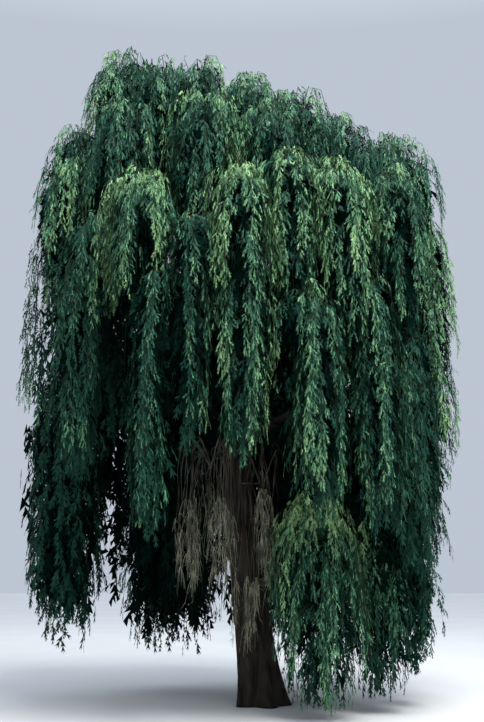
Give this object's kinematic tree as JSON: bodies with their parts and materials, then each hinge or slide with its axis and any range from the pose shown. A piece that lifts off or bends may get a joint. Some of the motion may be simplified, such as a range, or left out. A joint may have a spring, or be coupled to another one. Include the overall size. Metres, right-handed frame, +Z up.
{
  "type": "weeping hemlock tree",
  "caption": "Weeping conifer with a leaning trunk, arching boughs and long hanging drapes of needles, rooted in the ground.",
  "frame": {"origin": "middle of the flat cut under the trunk, at ground level", "axes": "+Z up along the tree's height, -Y towards the side that the picture shows, +X to the right as seen from there"},
  "size_m": [5.9097, 5.416, 8.381],
  "materials": {
    "bark": "matte",
    "foliage": "matte",
    "dead_twigs": "matte"
  },
  "bodies": {
    "root": {"trunk": "bark", "bough_foot_right": "bark", "bough_low_back_left": "bark", "bough_low_back_right": "bark", "bough_low_front": "bark", "bough_low_right": "bark", "bough_middle_back": "bark", "bough_middle_front": "bark", "bough_middle_front_left": "bark", "bough_middle_front_right": "bark", "bough_middle_left": "bark", "bough_middle_right": "bark", "bough_upper_back": "bark", "bough_upper_far_right": "bark", "bough_upper_front": "bark", "bough_upper_front_left": "bark", "bough_upper_left": "bark", "bough_upper_right": "bark", "dead_twigs_left": "dead_twigs", "dead_twigs_right": "dead_twigs", "foliage_arch_left": "foliage", "foliage_arch_right": "foliage", "foliage_foot_far_right": "foliage", "foliage_foot_front": "foliage", "foliage_foot_right": "foliage", "foliage_long_centre": "foliage", "foliage_middle_back": "foliage", "foliage_middle_back_left": "foliage", "foliage_middle_centre": "foliage", "foliage_middle_left": "foliage", "foliage_middle_left_back": "foliage", "foliage_middle_right": "foliage", "foliage_shoulder_back": "foliage", "foliage_shoulder_back_left": "foliage", "foliage_shoulder_back_right": "foliage", "foliage_shoulder_far_right": "foliage", "foliage_shoulder_front": "foliage", "foliage_shoulder_front_left": "foliage", "foliage_shoulder_front_right": "foliage", "foliage_shoulder_left": "foliage", "foliage_shoulder_right": "foliage", "foliage_skirt_back": "foliage", "foliage_skirt_back_left": "foliage", "foliage_skirt_far_left": "foliage", "foliage_skirt_far_right": "foliage", "foliage_skirt_front": "foliage", "foliage_skirt_front_left": "foliage", "foliage_skirt_front_right": "foliage", "foliage_skirt_left": "foliage", "foliage_skirt_left_back": "foliage", "foliage_skirt_right": "foliage", "foliage_skirt_right_back": "foliage", "foliage_skirt_right_front": "foliage", "foliage_summit_back_left": "foliage", "foliage_summit_back_right": "foliage", "foliage_summit_far_right": "foliage", "foliage_summit_front": "foliage", "foliage_summit_left": "foliage", "foliage_summit_middle": "foliage", "foliage_summit_right": "foliage"}
  },
  "joints": []
}
